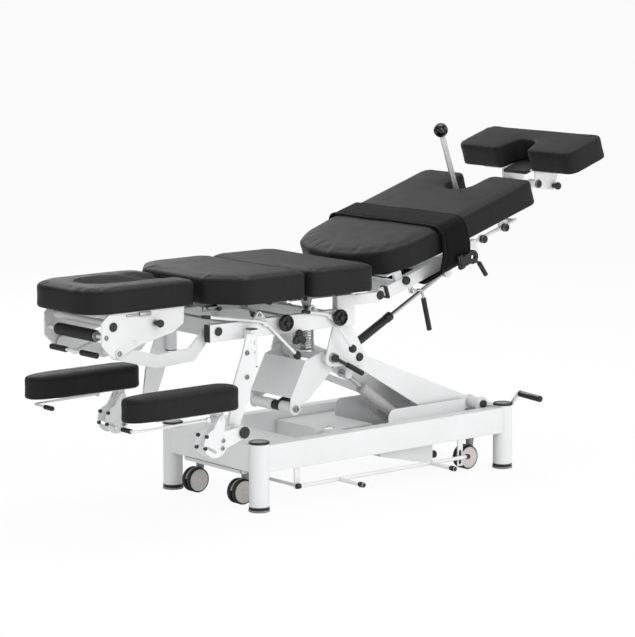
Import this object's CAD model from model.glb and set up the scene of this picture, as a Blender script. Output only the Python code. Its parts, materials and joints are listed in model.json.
"""Looks of a chiropractic table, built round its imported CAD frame."""

from __future__ import annotations

import json
import logging
import math
from dataclasses import dataclass, field
from enum import Enum
from typing import Any, Callable, Iterable, Mapping, Sequence

import bmesh
import bpy
import numpy as np
from mathutils import Matrix, Vector, geometry
from mathutils.bvhtree import BVHTree

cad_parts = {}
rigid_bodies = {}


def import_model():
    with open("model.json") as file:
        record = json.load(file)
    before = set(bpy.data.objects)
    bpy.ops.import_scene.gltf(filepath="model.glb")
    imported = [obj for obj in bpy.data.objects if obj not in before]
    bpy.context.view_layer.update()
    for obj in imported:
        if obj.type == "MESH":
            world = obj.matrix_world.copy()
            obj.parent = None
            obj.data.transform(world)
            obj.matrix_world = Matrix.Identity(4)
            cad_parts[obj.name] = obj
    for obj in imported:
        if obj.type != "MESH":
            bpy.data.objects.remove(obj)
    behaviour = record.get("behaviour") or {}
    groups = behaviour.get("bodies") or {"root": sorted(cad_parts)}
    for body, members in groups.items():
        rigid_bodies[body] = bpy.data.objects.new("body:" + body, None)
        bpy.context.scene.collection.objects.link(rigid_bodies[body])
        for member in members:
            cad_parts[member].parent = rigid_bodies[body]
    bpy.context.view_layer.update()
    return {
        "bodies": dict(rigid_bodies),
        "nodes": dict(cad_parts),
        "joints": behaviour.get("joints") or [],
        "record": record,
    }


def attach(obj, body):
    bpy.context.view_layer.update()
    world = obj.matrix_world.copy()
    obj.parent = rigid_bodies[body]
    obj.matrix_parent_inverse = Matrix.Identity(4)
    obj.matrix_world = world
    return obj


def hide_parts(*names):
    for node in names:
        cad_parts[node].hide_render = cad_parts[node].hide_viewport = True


LOG = logging.getLogger("table")
MM = 0.001
Point2 = tuple[float, float]
Point3 = tuple[float, float, float]
Ring = list[bmesh.types.BMVert]


# Places in the frame


@dataclass(frozen=True)
class Place:
    """A local frame of the table, in which points are written in millimetres."""

    matrix: Matrix

    def at(self, x: float, y: float, z: float) -> Vector:
        """Returns the point in the row frame, in metres."""
        return self.matrix @ Vector((x * MM, y * MM, z * MM))

    def moved(self, x: float, y: float, z: float, tilt: float = 0.0) -> Place:
        """Returns a place at a point of this one, its foot end raised by tilt.

        Args:
            x: Along this place, in millimetres.
            y: Across it.
            z: Square to it.
            tilt: Degrees by which the new place's far end rises.

        Returns:
            The new place.
        """
        shift = Matrix.Translation(Vector((x * MM, y * MM, z * MM)))
        return Place(self.matrix @ shift @ Matrix.Rotation(-math.radians(tilt), 4, "Y"))

    def span(self, a: Sequence[float], b: Sequence[float]) -> tuple[Vector, Vector]:
        """Returns two points of this place in the row frame."""
        return self.at(*a), self.at(*b)


BASE = Place(Matrix.Translation((0.088, 0.0, 0.0)))
DECK = BASE.moved(-45.986, 0, 474.96)
LEG = DECK.moved(56, 0, 225, 17.5)
FOOT = LEG.moved(958, 0, 48, 1.3)
NEAR, FAR = -1, 1
SIDES = (NEAR, FAR)


# Shader tools


class Value:
    """A number in a node tree, for use in Python arithmetic."""

    def __init__(self, shader: Shader, socket: bpy.types.NodeSocket) -> None:
        """Keeps the tree and the socket that gives the number."""
        self.shader = shader
        self.socket = socket

    def _math(self, operation: str, *values: Any) -> Value:
        """Returns a Math node's result.

        Args:
            operation: The Math node's operation.
            values: Its inputs, as numbers or values.

        Returns:
            The result as a value.
        """
        made = self.shader.node("ShaderNodeMath", {"operation": operation}, dict(enumerate(values)))
        return Value(self.shader, made.outputs[0])

    def __add__(self, other: Any) -> Value:
        """Sum."""
        return self._math("ADD", self, other)

    __radd__ = __add__

    def __sub__(self, other: Any) -> Value:
        """Difference."""
        return self._math("SUBTRACT", self, other)

    def __rsub__(self, other: Any) -> Value:
        """Difference with this value taken away."""
        return self._math("SUBTRACT", other, self)

    def __mul__(self, other: Any) -> Value:
        """Product."""
        return self._math("MULTIPLY", self, other)

    __rmul__ = __mul__

    def larger(self, other: Any) -> Value:
        """The larger of two."""
        return self._math("MAXIMUM", self, other)

    def step(self, low: float, high: float) -> Value:
        """Returns 0 below low, 1 above high and a smooth rise between."""
        made = self.shader.node(
            "ShaderNodeMapRange",
            {"interpolation_type": "SMOOTHSTEP"},
            {"Value": self, "From Min": low, "From Max": high},
        )
        return Value(self.shader, made.outputs["Result"])


class Shader:
    """The node tree of one material, or of the world."""

    def __init__(self, name: str, world: bool = False) -> None:
        """Starts a material or a world with a bare output node."""
        self.made = (bpy.data.worlds if world else bpy.data.materials).new(name)
        self.made.use_nodes = True
        self.tree = self.made.node_tree
        self.tree.nodes.clear()
        self.output = self.node("ShaderNodeOutputWorld" if world else "ShaderNodeOutputMaterial")
        self.place = self.node("ShaderNodeTexCoord").outputs["Object"]

    def node(
        self,
        kind: str,
        settings: Mapping[str, Any] | None = None,
        sockets: Mapping[Any, Any] | None = None,
    ) -> bpy.types.Node:
        """Adds a node.

        Args:
            kind: The node's type.
            settings: Its own settings, set before its sockets.
            sockets: Numbers, colours, values or sockets by input name or index.

        Returns:
            The node.
        """
        made = self.tree.nodes.new(kind)
        for key, setting in (settings or {}).items():
            setattr(made, key, setting)
        for key, given in (sockets or {}).items():
            given = given.socket if isinstance(given, Value) else given
            if isinstance(given, bpy.types.NodeSocket):
                self.tree.links.new(given, made.inputs[key])
            else:
                made.inputs[key].default_value = given
        return made

    def stretched(self, by: Sequence[float]) -> bpy.types.NodeSocket:
        """Returns the object's coordinates multiplied by a vector."""
        made = self.node(
            "ShaderNodeVectorMath", {"operation": "MULTIPLY"}, {0: self.place, 1: by}
        )
        return made.outputs[0]

    def noise(
        self,
        scale: float,
        detail: float = 3.0,
        rough: float = 0.5,
        where: bpy.types.NodeSocket | None = None,
    ) -> Value:
        """Returns a noise between 0 and 1.

        Args:
            scale: Waves per metre.
            detail: Octaves of finer waves.
            rough: Strength of the finer waves.
            where: Coordinates, or None for the object's own.

        Returns:
            The noise as a value.
        """
        made = self.node(
            "ShaderNodeTexNoise",
            {},
            {
                "Vector": where or self.place,
                "Scale": scale,
                "Detail": detail,
                "Roughness": rough,
            },
        )
        return Value(self, made.outputs["Fac"])

    def cells(self, scale: float, where: bpy.types.NodeSocket | None = None) -> Value:
        """Returns the distance to the edges of a cell pattern."""
        made = self.node(
            "ShaderNodeTexVoronoi",
            {"feature": "DISTANCE_TO_EDGE"},
            {"Vector": where or self.place, "Scale": scale},
        )
        return Value(self, made.outputs["Distance"])

    def waves(self, axis: str, scale: float) -> Value:
        """Returns a sine wave along an axis of the object."""
        made = self.node(
            "ShaderNodeTexWave",
            {"bands_direction": axis, "wave_profile": "SIN"},
            {"Vector": self.place, "Scale": scale},
        )
        return Value(self, made.outputs["Fac"])

    def hollows(self, reach: float) -> Value:
        """Returns 1 in the open and less in corners and seams.

        Args:
            reach: How far a neighbouring surface counts, in metres.

        Returns:
            The openness as a value.
        """
        made = self.node("ShaderNodeAmbientOcclusion", {"samples": 6}, {"Distance": reach})
        return Value(self, made.outputs["AO"])

    def mixed(self, mask: Value, a: Any, b: Any) -> bpy.types.NodeSocket:
        """Returns a colour that goes from a to b as the mask goes from 0 to 1."""
        made = self.node(
            "ShaderNodeMix", {"data_type": "RGBA"}, {"Factor": mask, 6: a, 7: b}
        )
        return made.outputs[2]

    def bump(
        self, height: Value, depth: float, base: bpy.types.NodeSocket | None = None
    ) -> bpy.types.NodeSocket:
        """Returns a normal bent by a height.

        Args:
            height: The height, from 0 to 1.
            depth: What a height of 1 stands for, in metres.
            base: The normal to bend, or None for the surface's own.

        Returns:
            The normal's socket.
        """
        sockets = {"Height": height, "Distance": depth, "Strength": 1.0}
        if base is not None:
            sockets["Normal"] = base
        return self.node("ShaderNodeBump", {}, sockets).outputs["Normal"]

    def rounded(self, radius: float) -> bpy.types.NodeSocket:
        """Returns a normal that rounds the sharp edges of a folded or cut part."""
        made = self.node("ShaderNodeBevel", {"samples": 4}, {"Radius": radius})
        return made.outputs["Normal"]

    def surface(self, **sockets: Any) -> bpy.types.Material:
        """Ends the tree in a Principled shader.

        Args:
            sockets: The shader's inputs, with _ for the blanks in their names.

        Returns:
            The material.
        """
        named = {key.replace("_", " "): value for key, value in sockets.items()}
        return self.ended(self.node("ShaderNodeBsdfPrincipled", {}, named))

    def ended(self, last: bpy.types.Node) -> Any:
        """Links the last node to the output and returns the material or world."""
        self.tree.links.new(last.outputs[0], self.output.inputs["Surface"])
        return self.made


def grey(level: float, warm: float = 0.0) -> tuple[float, float, float, float]:
    """Returns a grey colour from its sRGB level, a little warm or cool."""
    lin = ((level + 0.055) / 1.055) ** 2.4 if level > 0.04045 else level / 12.92
    return (lin * (1 + warm), lin, lin * (1 - warm), 1.0)


# Finishes


@dataclass(frozen=True)
class Finish:
    """A surface finish, made into a material once."""

    name: str
    slot: str

    def material(self) -> bpy.types.Material:
        """Returns the finish's material, making it on first use."""
        known = bpy.data.materials.get(self.name)
        return known or self.make(Shader(self.name))

    def make(self, s: Shader) -> bpy.types.Material:
        """Builds the material's nodes."""
        raise NotImplementedError


@dataclass(frozen=True)
class PowderCoat(Finish):
    """Baked powder paint on steel: fine orange peel, and grime in the corners."""

    level: float = 0.93
    gloss: float = 0.34

    def make(self, s: Shader) -> bpy.types.Material:
        """Builds the material's nodes."""
        peel = s.noise(420, 2.0, 0.55)
        cloud = s.noise(5, 3.0, 0.6)
        corner = s.hollows(0.03).step(0.25, 0.95)
        dull = grey(self.level - 0.02, -0.004)
        clean = s.mixed(cloud.step(0.3, 0.75), grey(self.level, -0.008), dull)
        colour = s.mixed(corner, grey(self.level - 0.13, 0.006), clean)
        rough = self.gloss + 0.06 * cloud + 0.10 * peel.step(0.45, 0.8)
        normal = s.bump(peel, 0.00018, s.rounded(0.0016))
        return s.surface(Base_Color=colour, Roughness=rough, Normal=normal)


@dataclass(frozen=True)
class Leatherette(Finish):
    """Embossed upholstery vinyl: pebbled grain, soft creases, a faint sheen."""

    level: float = 0.128
    grain: float = 620

    def make(self, s: Shader) -> bpy.types.Material:
        """Builds the material's nodes."""
        pebble = s.cells(self.grain).step(0.0, 0.22)
        fine = s.noise(1500, 2.0, 0.6)
        crease = s.noise(38, 4.0, 0.6, s.stretched((1.0, 0.45, 1.6)))
        cloud = s.noise(3.2, 2.0, 0.5)
        seam = s.hollows(0.012).step(0.35, 0.9)
        worn = grey(self.level + 0.015, 0.02)
        top = s.mixed(cloud.step(0.3, 0.7), grey(self.level, 0.012), worn)
        ground = s.mixed(pebble, grey(self.level - 0.035), top)
        colour = s.mixed(seam, grey(0.05), ground)
        rough = 0.46 + 0.06 * crease.step(0.3, 0.7) - 0.05 * pebble + 0.05 * fine
        height = 0.5 * pebble + 0.25 * fine + 0.6 * crease.step(0.35, 0.75)
        return s.surface(
            Base_Color=colour, Roughness=rough, Normal=s.bump(height, 0.00024),
            Specular_IOR_Level=0.16, Sheen_Weight=0.03, Sheen_Roughness=0.5,
        )


@dataclass(frozen=True)
class Moulded(Finish):
    """Moulded plastic with a spark-eroded texture and scuffed high spots."""

    level: float = 0.11
    gloss: float = 0.36
    warm: float = 0.0
    texture: float = 0.00012

    def make(self, s: Shader) -> bpy.types.Material:
        """Builds the material's nodes."""
        spark = s.noise(900, 3.0, 0.65)
        scuff = s.noise(70, 5.0, 0.7).step(0.58, 0.78)
        corner = s.hollows(0.01).step(0.2, 0.9)
        pale = grey(min(1.0, self.level + 0.05), self.warm)
        plain = s.mixed(scuff, grey(self.level, self.warm), pale)
        colour = s.mixed(corner, grey(self.level * 0.55, self.warm), plain)
        rough = self.gloss + 0.14 * scuff + 0.08 * spark
        normal = s.bump(spark, self.texture, s.rounded(0.0009))
        return s.surface(Base_Color=colour, Roughness=rough, Normal=normal)


@dataclass(frozen=True)
class Steel(Finish):
    """Plated or drawn steel with fine lines along its length."""

    level: float = 0.80
    gloss: float = 0.24
    lines: tuple[float, float, float] = (20.0, 900.0, 900.0)

    def make(self, s: Shader) -> bpy.types.Material:
        """Builds the material's nodes."""
        drawn = s.noise(1.0, 2.0, 0.5, s.stretched(self.lines))
        stain = s.noise(26, 4.0, 0.6).step(0.5, 0.8)
        corner = s.hollows(0.012).step(0.2, 0.9)
        plain = s.mixed(stain, grey(self.level, -0.01), grey(self.level - 0.09, 0.01))
        colour = s.mixed(corner, grey(self.level * 0.6), plain)
        rough = self.gloss + 0.12 * stain + 0.10 * drawn
        normal = s.bump(drawn, 0.00006, s.rounded(0.0008))
        return s.surface(Base_Color=colour, Metallic=1.0, Roughness=rough, Normal=normal)


@dataclass(frozen=True)
class Webbing(Finish):
    """Woven band: crossing yarns with a loose nap."""

    level: float = 0.045
    yarn: float = 95.0

    def make(self, s: Shader) -> bpy.types.Material:
        """Builds the material's nodes."""
        across = s.waves("X", self.yarn)
        along = s.waves("DIAGONAL", self.yarn * 0.8)
        weave = across.larger(along)
        nap = s.noise(1400, 3.0, 0.7)
        soil = s.noise(14, 3.0, 0.6)
        yarns = s.mixed(weave, grey(self.level * 0.45), grey(self.level, -0.01))
        colour = s.mixed(soil.step(0.45, 0.8), yarns, grey(self.level + 0.015, -0.02))
        rough = 0.72 + 0.16 * nap
        normal = s.bump(weave * 0.8 + nap * 0.4, 0.0004)
        return s.surface(
            Base_Color=colour, Roughness=rough, Normal=normal, Specular_IOR_Level=0.15,
            Sheen_Weight=0.04, Sheen_Roughness=0.4,
        )


@dataclass(frozen=True)
class Rubber(Finish):
    """Matte rubber or foam sleeve with an uneven skin."""

    level: float = 0.10
    gloss: float = 0.62
    pores: float = 260

    def make(self, s: Shader) -> bpy.types.Material:
        """Builds the material's nodes."""
        skin = s.noise(self.pores, 4.0, 0.65)
        bloom = s.noise(22, 3.0, 0.6).step(0.45, 0.8)
        corner = s.hollows(0.008).step(0.2, 0.9)
        plain = s.mixed(bloom, grey(self.level), grey(self.level + 0.045, 0.01))
        colour = s.mixed(corner, grey(self.level * 0.5), plain)
        rough = self.gloss + 0.10 * bloom + 0.08 * skin
        return s.surface(Base_Color=colour, Roughness=rough, Normal=s.bump(skin, 0.00035))


WHITE = PowderCoat("white_powder_paint", "white_powder_coat")
VINYL = Leatherette("charcoal_vinyl", "leatherette")
VINYL_PIPING = Leatherette("vinyl_piping", "leatherette", 0.07, 900)
BLACK = Moulded("black_plastic_moulding", "black_plastic")
GLOSSY_BLACK = Moulded("polished_black_ball", "black_plastic", 0.07, 0.14, 0.0, 0.00003)
HOUSING_GREY = Moulded("castor_housing_grey", "grey_plastic", 0.60, 0.42, 0.03)
DISC_GREY = Moulded("castor_disc_grey", "grey_plastic", 0.82, 0.36, 0.06)
ACTUATOR_GREY = Moulded("actuator_grey", "grey_plastic", 0.70, 0.36, 0.012)
GLIDE_GREY = Moulded("glide_foot_grey", "grey_plastic", 0.58, 0.40, 0.0)
STEEL = Steel("drawn_steel", "steel")
ZINC = Steel("zinc_bolt", "steel", 0.66, 0.32, (300.0, 300.0, 300.0))
FLAT_BAR = Steel("brushed_flat_bar", "steel", 0.84, 0.34, (700.0, 700.0, 14.0))
MECHANISM = Steel("passivated_plate", "steel", 0.58, 0.42, (60.0, 500.0, 500.0))
WEBBING = Webbing("strap_webbing", "strap_web")
TYRE = Rubber("castor_tyre", "black_plastic", 0.085, 0.5)
GRIP = Rubber("grip_rubber", "black_plastic", 0.075, 0.48, 500)
RUBBER_BLACK = Rubber("board_cover", "black_plastic", 0.09, 0.6, 300)
FOAM = Rubber("roller_foam", "black_plastic", 0.12, 0.7, 420)


# Mesh tools


def placed(
    made: bpy.types.Object, body: str, finish: Finish, replaces: Sequence[str] = ()
) -> bpy.types.Object:
    """Puts an object in the scene with its finish, its body and the nodes it stands for.

    Args:
        made: The object.
        body: The body it rides on.
        finish: Its finish.
        replaces: The CAD nodes that it stands for.

    Returns:
        The same object.
    """
    if not made.users_collection:
        bpy.context.scene.collection.objects.link(made)
    made.data.materials.clear()
    made.data.materials.append(finish.material())
    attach(made, body)
    if replaces:
        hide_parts(*replaces)
    LOG.info("piece %s on %s", made.name, body)
    return made


class Workpiece:
    """One mesh in the making, its points written in millimetres of a place."""

    def __init__(self, place: Place = BASE) -> None:
        """Starts an empty mesh."""
        self.place = place
        self.bm = bmesh.new()

    def done(
        self, name: str, body: str, finish: Finish, *replaces: str, crease: float = 35.0
    ) -> bpy.types.Object:
        """Makes the mesh a piece of the scene.

        Args:
            name: The piece's name.
            body: The body it rides on.
            finish: Its finish.
            replaces: The CAD nodes that it stands for.
            crease: Edges sharper than this many degrees stay sharp.

        Returns:
            The piece's object.
        """
        made = self.bare(name)
        made.data.shade_smooth()
        made.data.set_sharp_from_angle(angle=math.radians(crease))
        return placed(made, body, finish, replaces)

    def bare(self, name: str) -> bpy.types.Object:
        """Returns the mesh as an object that isn't in the scene yet."""
        bmesh.ops.recalc_face_normals(self.bm, faces=self.bm.faces[:])
        mesh = bpy.data.meshes.new(name)
        self.bm.to_mesh(mesh)
        self.bm.free()
        return bpy.data.objects.new(name, mesh)

    def point(self, p: Sequence[float] | Vector) -> Vector:
        """Returns a point of the place in the row frame. A vector is there already."""
        return p if isinstance(p, Vector) else self.place.at(*p)

    def verts(self, points: Iterable[Sequence[float] | Vector]) -> Ring:
        """Adds points and returns them."""
        return [self.bm.verts.new(self.point(p)) for p in points]

    def ring(self, centre: Vector, across: Vector, up: Vector, radius: float, segments: int) -> Ring:
        """Adds a circle of points.

        Args:
            centre: Its middle.
            across: The direction of its first point.
            up: The direction a quarter turn on.
            radius: Its radius in millimetres.
            segments: Points around.

        Returns:
            The points.
        """
        turn = [2 * math.pi * k / segments for k in range(segments)]
        return self.verts(centre + (across * math.cos(a) + up * math.sin(a)) * radius * MM for a in turn)

    def bridge(self, a: Ring, b: Ring) -> None:
        """Joins two rings, of which either may be a single point."""
        n = max(len(a), len(b))
        if n == 1:
            return
        for k in range(n):
            m = (k + 1) % n
            corners = [a[k % len(a)], a[m % len(a)], b[m % len(b)], b[k % len(b)]]
            self.bm.faces.new(list(dict.fromkeys(corners)))

    def lofted(self, rings: Sequence[Ring], closed: bool = False) -> None:
        """Joins each ring to the next, and the last to the first or each end by a face."""
        for a, b in zip(rings, rings[1:] + rings[:1] if closed else rings[1:]):
            self.bridge(a, b)
        for ring in () if closed else (rings[0], rings[-1]):
            if len(ring) > 2:
                self.bm.faces.new(ring)

    def turned(
        self,
        start: Sequence[float] | Vector,
        end: Sequence[float] | Vector,
        profile: Sequence[Point2],
        segments: int = 32,
        hollow: bool = False,
    ) -> None:
        """Adds a turned body.

        Args:
            start: Where the axis starts.
            end: A point further along the axis.
            profile: Distances from start and radii, in millimetres.
            segments: Points around.
            hollow: Whether the profile closes round a bore.
        """
        first = self.point(start)
        axis = (self.point(end) - first).normalized()
        side = axis.orthogonal().normalized()
        other = axis.cross(side)
        rings: list[Ring] = []
        for along, radius in profile:
            centre = first + axis * along * MM
            if radius <= 0:
                rings.append(self.verts([centre]))
            else:
                rings.append(self.ring(centre, side, other, radius, segments))
        self.lofted(rings, hollow)

    def swept(
        self,
        path: Sequence[Sequence[float] | Vector],
        radius: float,
        segments: int = 14,
        closed: bool = False,
    ) -> None:
        """Adds a round bar that follows a path.

        Args:
            path: The bar's middle line.
            radius: The bar's radius in millimetres.
            segments: Points around.
            closed: Whether the path runs back into its start.
        """
        points = [self.point(p) for p in path]
        n = len(points)
        steps = [
            (points[(i + 1) % n] - points[i - 1]) if closed or 0 < i < n - 1
            else (points[min(i + 1, n - 1)] - points[max(i - 1, 0)])
            for i in range(n)
        ]
        across = steps[0].orthogonal().normalized()
        rings = []
        for point, step in zip(points, steps):
            axis = step.normalized()
            across = (across - axis * across.dot(axis)).normalized()
            rings.append(self.ring(point, across, axis.cross(across), radius, segments))
        for a, b in zip(rings, rings[1:]):
            self.bridge(a, b)
        if closed:
            self.match_seam(rings[-1], rings[0])
        else:
            self.bm.faces.new(rings[0])
            self.bm.faces.new(rings[-1])

    def match_seam(self, last: Ring, first: Ring) -> None:
        """Joins the last ring of a closed bar to its first, at the best turn."""
        n = len(first)
        gaps = [sum((last[k].co - first[(k + s) % n].co).length for k in range(n)) for s in range(n)]
        shift = gaps.index(min(gaps))
        self.bridge(last, [first[(k + shift) % n] for k in range(n)])

    def broken(self, edges: Iterable[bmesh.types.BMEdge], offset: float) -> None:
        """Rounds edges by an offset in millimetres."""
        chosen = list(dict.fromkeys(edges))
        bmesh.ops.bevel(
            self.bm, geom=chosen, offset=offset * MM, segments=2, profile=0.6, affect="EDGES"
        )

    def plate(self, outline: Sequence[Point2], y0: float, y1: float, edge: float) -> None:
        """Adds a plate with broken edges.

        Args:
            outline: Points along and square to the place.
            y0: One face's y.
            y1: The other face's y.
            edge: How much the edges are broken.
        """
        near, far = (self.verts((x, y, z) for x, z in outline) for y in (y0, y1))
        faces = [self.bm.faces.new(near), self.bm.faces.new(far)]
        self.bridge(near, far)
        self.broken((e for f in faces for e in f.edges), edge)

    def block(
        self, low: Sequence[float], high: Sequence[float], edge: float, place: Place | None = None
    ) -> None:
        """Adds a rectangular block with rounded edges.

        Args:
            low: Its lowest corner.
            high: Its highest corner.
            edge: The rounding.
            place: The frame of the numbers, where it isn't the workpiece's own.
        """
        place = place or self.place
        middle = place.at(*[(a + b) / 2 for a, b in zip(low, high)])
        size = [abs(b - a) * MM for a, b in zip(low, high)]
        turn = place.matrix.to_3x3().to_4x4()
        matrix = Matrix.Translation(middle) @ turn @ Matrix.Diagonal((*size, 1.0))
        made = bmesh.ops.create_cube(self.bm, size=1.0, matrix=matrix)
        self.broken((e for v in made["verts"] for e in v.link_edges), edge)

    def ribbed(
        self, start: Sequence[float] | Vector, end: Sequence[float] | Vector, radius: float, length: float,
        ribs: int,
    ) -> None:
        """Adds a hand grip with rounded ends and shallow ribs.

        Args:
            start: The grip's end on its bar.
            end: Its outer end.
            radius: The grip's radius in millimetres.
            length: Its length.
            ribs: The number of ribs.
        """
        low, pitch = radius - 0.5, (length - 9) / ribs
        profile: list[Point2] = [(0, radius * 0.72), (0.8, radius * 0.94), (2.5, radius)]
        for k in range(ribs):
            z = 4 + k * pitch
            rib = [(0, radius), (0.16, low), (0.40, low), (0.56, radius)]
            profile += [(z + pitch * share, r) for share, r in rib]
        profile += [(length - 3.2, radius), (length - 1.0, radius * 0.86), (length, radius * 0.55)]
        self.turned(start, end, profile + [(length + 0.4, 0)], 24)

    def ball(self, centre: Vector, radius: float) -> None:
        """Adds a ball."""
        turn = [math.pi * k / 12 for k in range(13)]
        profile = [
            (radius - radius * math.cos(a), radius * math.sin(a) if 0 < k < 12 else 0)
            for k, a in enumerate(turn)
        ]
        self.turned(centre - Vector((0, 0, radius * MM)), centre, profile, 28)

    def bolt(self, x: float, z: float, y: float, way: int, size: float) -> None:
        """Adds a washer and a socket-head bolt that stands out from a face.

        Args:
            x: Along the place.
            z: Square to it.
            y: The face's y.
            way: The side to which the head points, -1 or 1.
            size: The head's radius in millimetres.
        """
        axis = (x, y, z), (x, y + way, z)
        self.turned(*axis, [(-0.2, size * 1.35), (1.2, size * 1.35), (1.5, size * 1.25)], 24)
        head = [
            (1.4, size), (size * 0.75, size), (size * 0.9, size * 0.86), (size * 0.9, size * 0.5),
            (size * 0.45, size * 0.46), (size * 0.42, 0),
        ]
        self.turned(*axis, head, 24)

    def cap(self, x: float, z: float, y: float, radius: float, height: float) -> None:
        """Adds a push-in cover cap with a rounded rim and a shallow dished face.

        Args:
            x: Along the place.
            z: Square to it.
            y: The y of the face it covers, on the side to which it points.
            radius: Its radius.
            height: How far it stands out.
        """
        self.turned((x, y, z), (x, y + math.copysign(1, y), z), [
            (0, radius), (height * 0.55, radius), (height * 0.9, radius - height * 0.35),
            (height, radius - height * 0.8), (height * 0.93, radius * 0.62), (height * 0.86, radius * 0.3),
            (height * 0.84, 0),
        ], 28)

    def lobed(
        self, x: float, z: float, y: float, radius: float, thick: float, lobes: int, depth: float
    ) -> None:
        """Adds a hand knob with rounded lobes, which points to the near side.

        Args:
            x: Along the place.
            z: Square to it.
            y: Where the knob's back lies.
            radius: Its largest radius in millimetres.
            thick: Its thickness.
            lobes: The number of lobes.
            depth: How deep the hollows between the lobes are, as a share of the radius.
        """
        steps, rings = lobes * 14, []
        for share, scale in ((0.0, 0.80), (0.12, 0.95), (0.3, 1.0), (0.75, 1.0), (0.92, 0.95), (1.0, 0.80)):
            ring = []
            for k in range(steps):
                a = 2 * math.pi * k / steps
                wave = 0.5 + 0.5 * math.cos(lobes * (a - math.pi / 2))
                r = radius * scale * (1 - depth + depth * wave ** 0.8)
                ring.append((x + r * math.cos(a), y - thick * share, z + r * math.sin(a)))
            rings.append(self.verts(ring))
        self.lofted(rings)
        self.turned((x, y - thick * 0.9, z), (x, y - thick, z), [
            (0, radius * 0.42), (thick * 0.28, radius * 0.42),
            (thick * 0.36, radius * 0.34), (thick * 0.36, 0),
        ], 24)


def bent(points: Sequence[Vector], radius: float, steps: int = 6, share: float = 0.48) -> list[Vector]:
    """Rounds the inner corners of a path.

    Args:
        points: The path's corners.
        radius: The bend's radius, in the points' unit.
        steps: Steps in each bend.
        share: The part of a side that a bend may take.

    Returns:
        The rounded path.
    """
    path = [points[0]]
    for a, p, b in zip(points, points[1:], points[2:]):
        u, v = (a - p).normalized(), (b - p).normalized()
        half = u.angle(v) / 2
        reach = min(radius / math.tan(half), share * (a - p).length, share * (b - p).length)
        centre = p + (u + v).normalized() * reach / math.cos(half)
        first, last = p + u * reach - centre, p + v * reach - centre
        path += [centre + first.slerp(last, k / steps).normalized() * first.length for k in range(steps + 1)]
    return path + [points[-1]]


def corner(a: Sequence[float], p: Sequence[float], b: Sequence[float], r: float, steps: int) -> list[Point2]:
    """Returns the arc that rounds a corner of an outline.

    Args:
        a: The point before the corner.
        p: The corner.
        b: The point after it.
        r: The arc's radius.
        steps: Its number of steps.

    Returns:
        The arc's points.
    """
    path = bent([Vector((*q[:2], 0)) for q in (a, p, b)], r, steps, 1.0)
    return [(v.x, v.y) for v in path[1:-1]]


def arc_points(x: float, z: float, radius: float, angles: Iterable[float]) -> list[Point2]:
    """Returns points on a circle at the given angles in degrees."""
    turns = [math.radians(a) for a in angles]
    return [(x + radius * math.cos(a), z + radius * math.sin(a)) for a in turns]


def rounded(half: Sequence[Sequence[float]], steps: int = 8) -> list[Point2]:
    """Returns a half outline with its inner corners rounded.

    Args:
        half: Points from end to end, the inner ones with a radius each.
        steps: Steps in each rounded corner.

    Returns:
        The half outline's points.
    """
    near: list[Point2] = [tuple(half[0][:2])]
    for a, p, b in zip(half, half[1:], half[2:]):
        near += corner(a, p, b, p[2], steps)
    return near + [tuple(half[-1][:2])]


def outline_of(half: Sequence[Sequence[float]]) -> np.ndarray:
    """Returns a closed outline from the corners of its near half.

    Args:
        half: Points with a radius each, from the head end's middle to the foot end's.

    Returns:
        The outline's points, one per row.
    """
    near = rounded(half)
    return np.array(near + [(x, -y) for x, y in near[-2:0:-1]])


def evenly(points: np.ndarray, step: float) -> np.ndarray:
    """Returns a closed outline's points spaced evenly, about a step apart."""
    loop = np.vstack([points, points[:1]])
    run = np.concatenate([[0.0], np.cumsum(np.linalg.norm(np.diff(loop, axis=0), axis=1))])
    at = np.linspace(0, run[-1], max(12, round(run[-1] / step)), endpoint=False)
    return np.column_stack([np.interp(at, run, loop[:, i]) for i in range(points.shape[1])])


def drawn_in(points: np.ndarray, by: float) -> np.ndarray:
    """Returns a closed anticlockwise outline moved inwards."""
    along = np.roll(points, -1, axis=0) - np.roll(points, 1, axis=0)
    along /= np.linalg.norm(along, axis=1, keepdims=True)
    return points + by * np.column_stack([-along[:, 1], along[:, 0]])


def inside(points: np.ndarray, loop: np.ndarray) -> np.ndarray:
    """Returns which points lie inside a closed loop."""
    x, y = points[:, :1], points[:, 1:2]
    x0, y0 = loop[:, 0], loop[:, 1]
    x1, y1 = np.roll(x0, -1), np.roll(y0, -1)
    cuts = (y0 > y) != (y1 > y)
    with np.errstate(divide="ignore", invalid="ignore"):
        hits = cuts & (x < x0 + (y - y0) / (y1 - y0) * (x1 - x0))
    return hits.sum(axis=1) % 2 == 1


def filled(points: np.ndarray, n: int) -> list[list[int]]:
    """Returns the triangles that fill a loop.

    Args:
        points: The loop's points, and then those inside it.
        n: How many of them are the loop.

    Returns:
        Each triangle's corners, as point numbers.
    """
    cut = geometry.delaunay_2d_cdt([Vector(p) for p in points], [], [list(range(n))], 1, 1e-6)
    source = [ids[0] for ids in cut[3]]
    return [[source[i] for i in face] for face in cut[2]]


def soft(t: np.ndarray) -> np.ndarray:
    """Returns a smooth step from 0 to 1 of each number."""
    c = np.clip(t, 0.0, 1.0)
    return c * c * (3 - 2 * c)


def coordinates(mesh: bpy.types.Mesh) -> np.ndarray:
    """Returns a mesh's points, one per row."""
    flat = np.empty(len(mesh.vertices) * 3, dtype=np.float32)
    mesh.vertices.foreach_get("co", flat)
    return flat.reshape(-1, 3).astype(float)


# Upholstery


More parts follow.
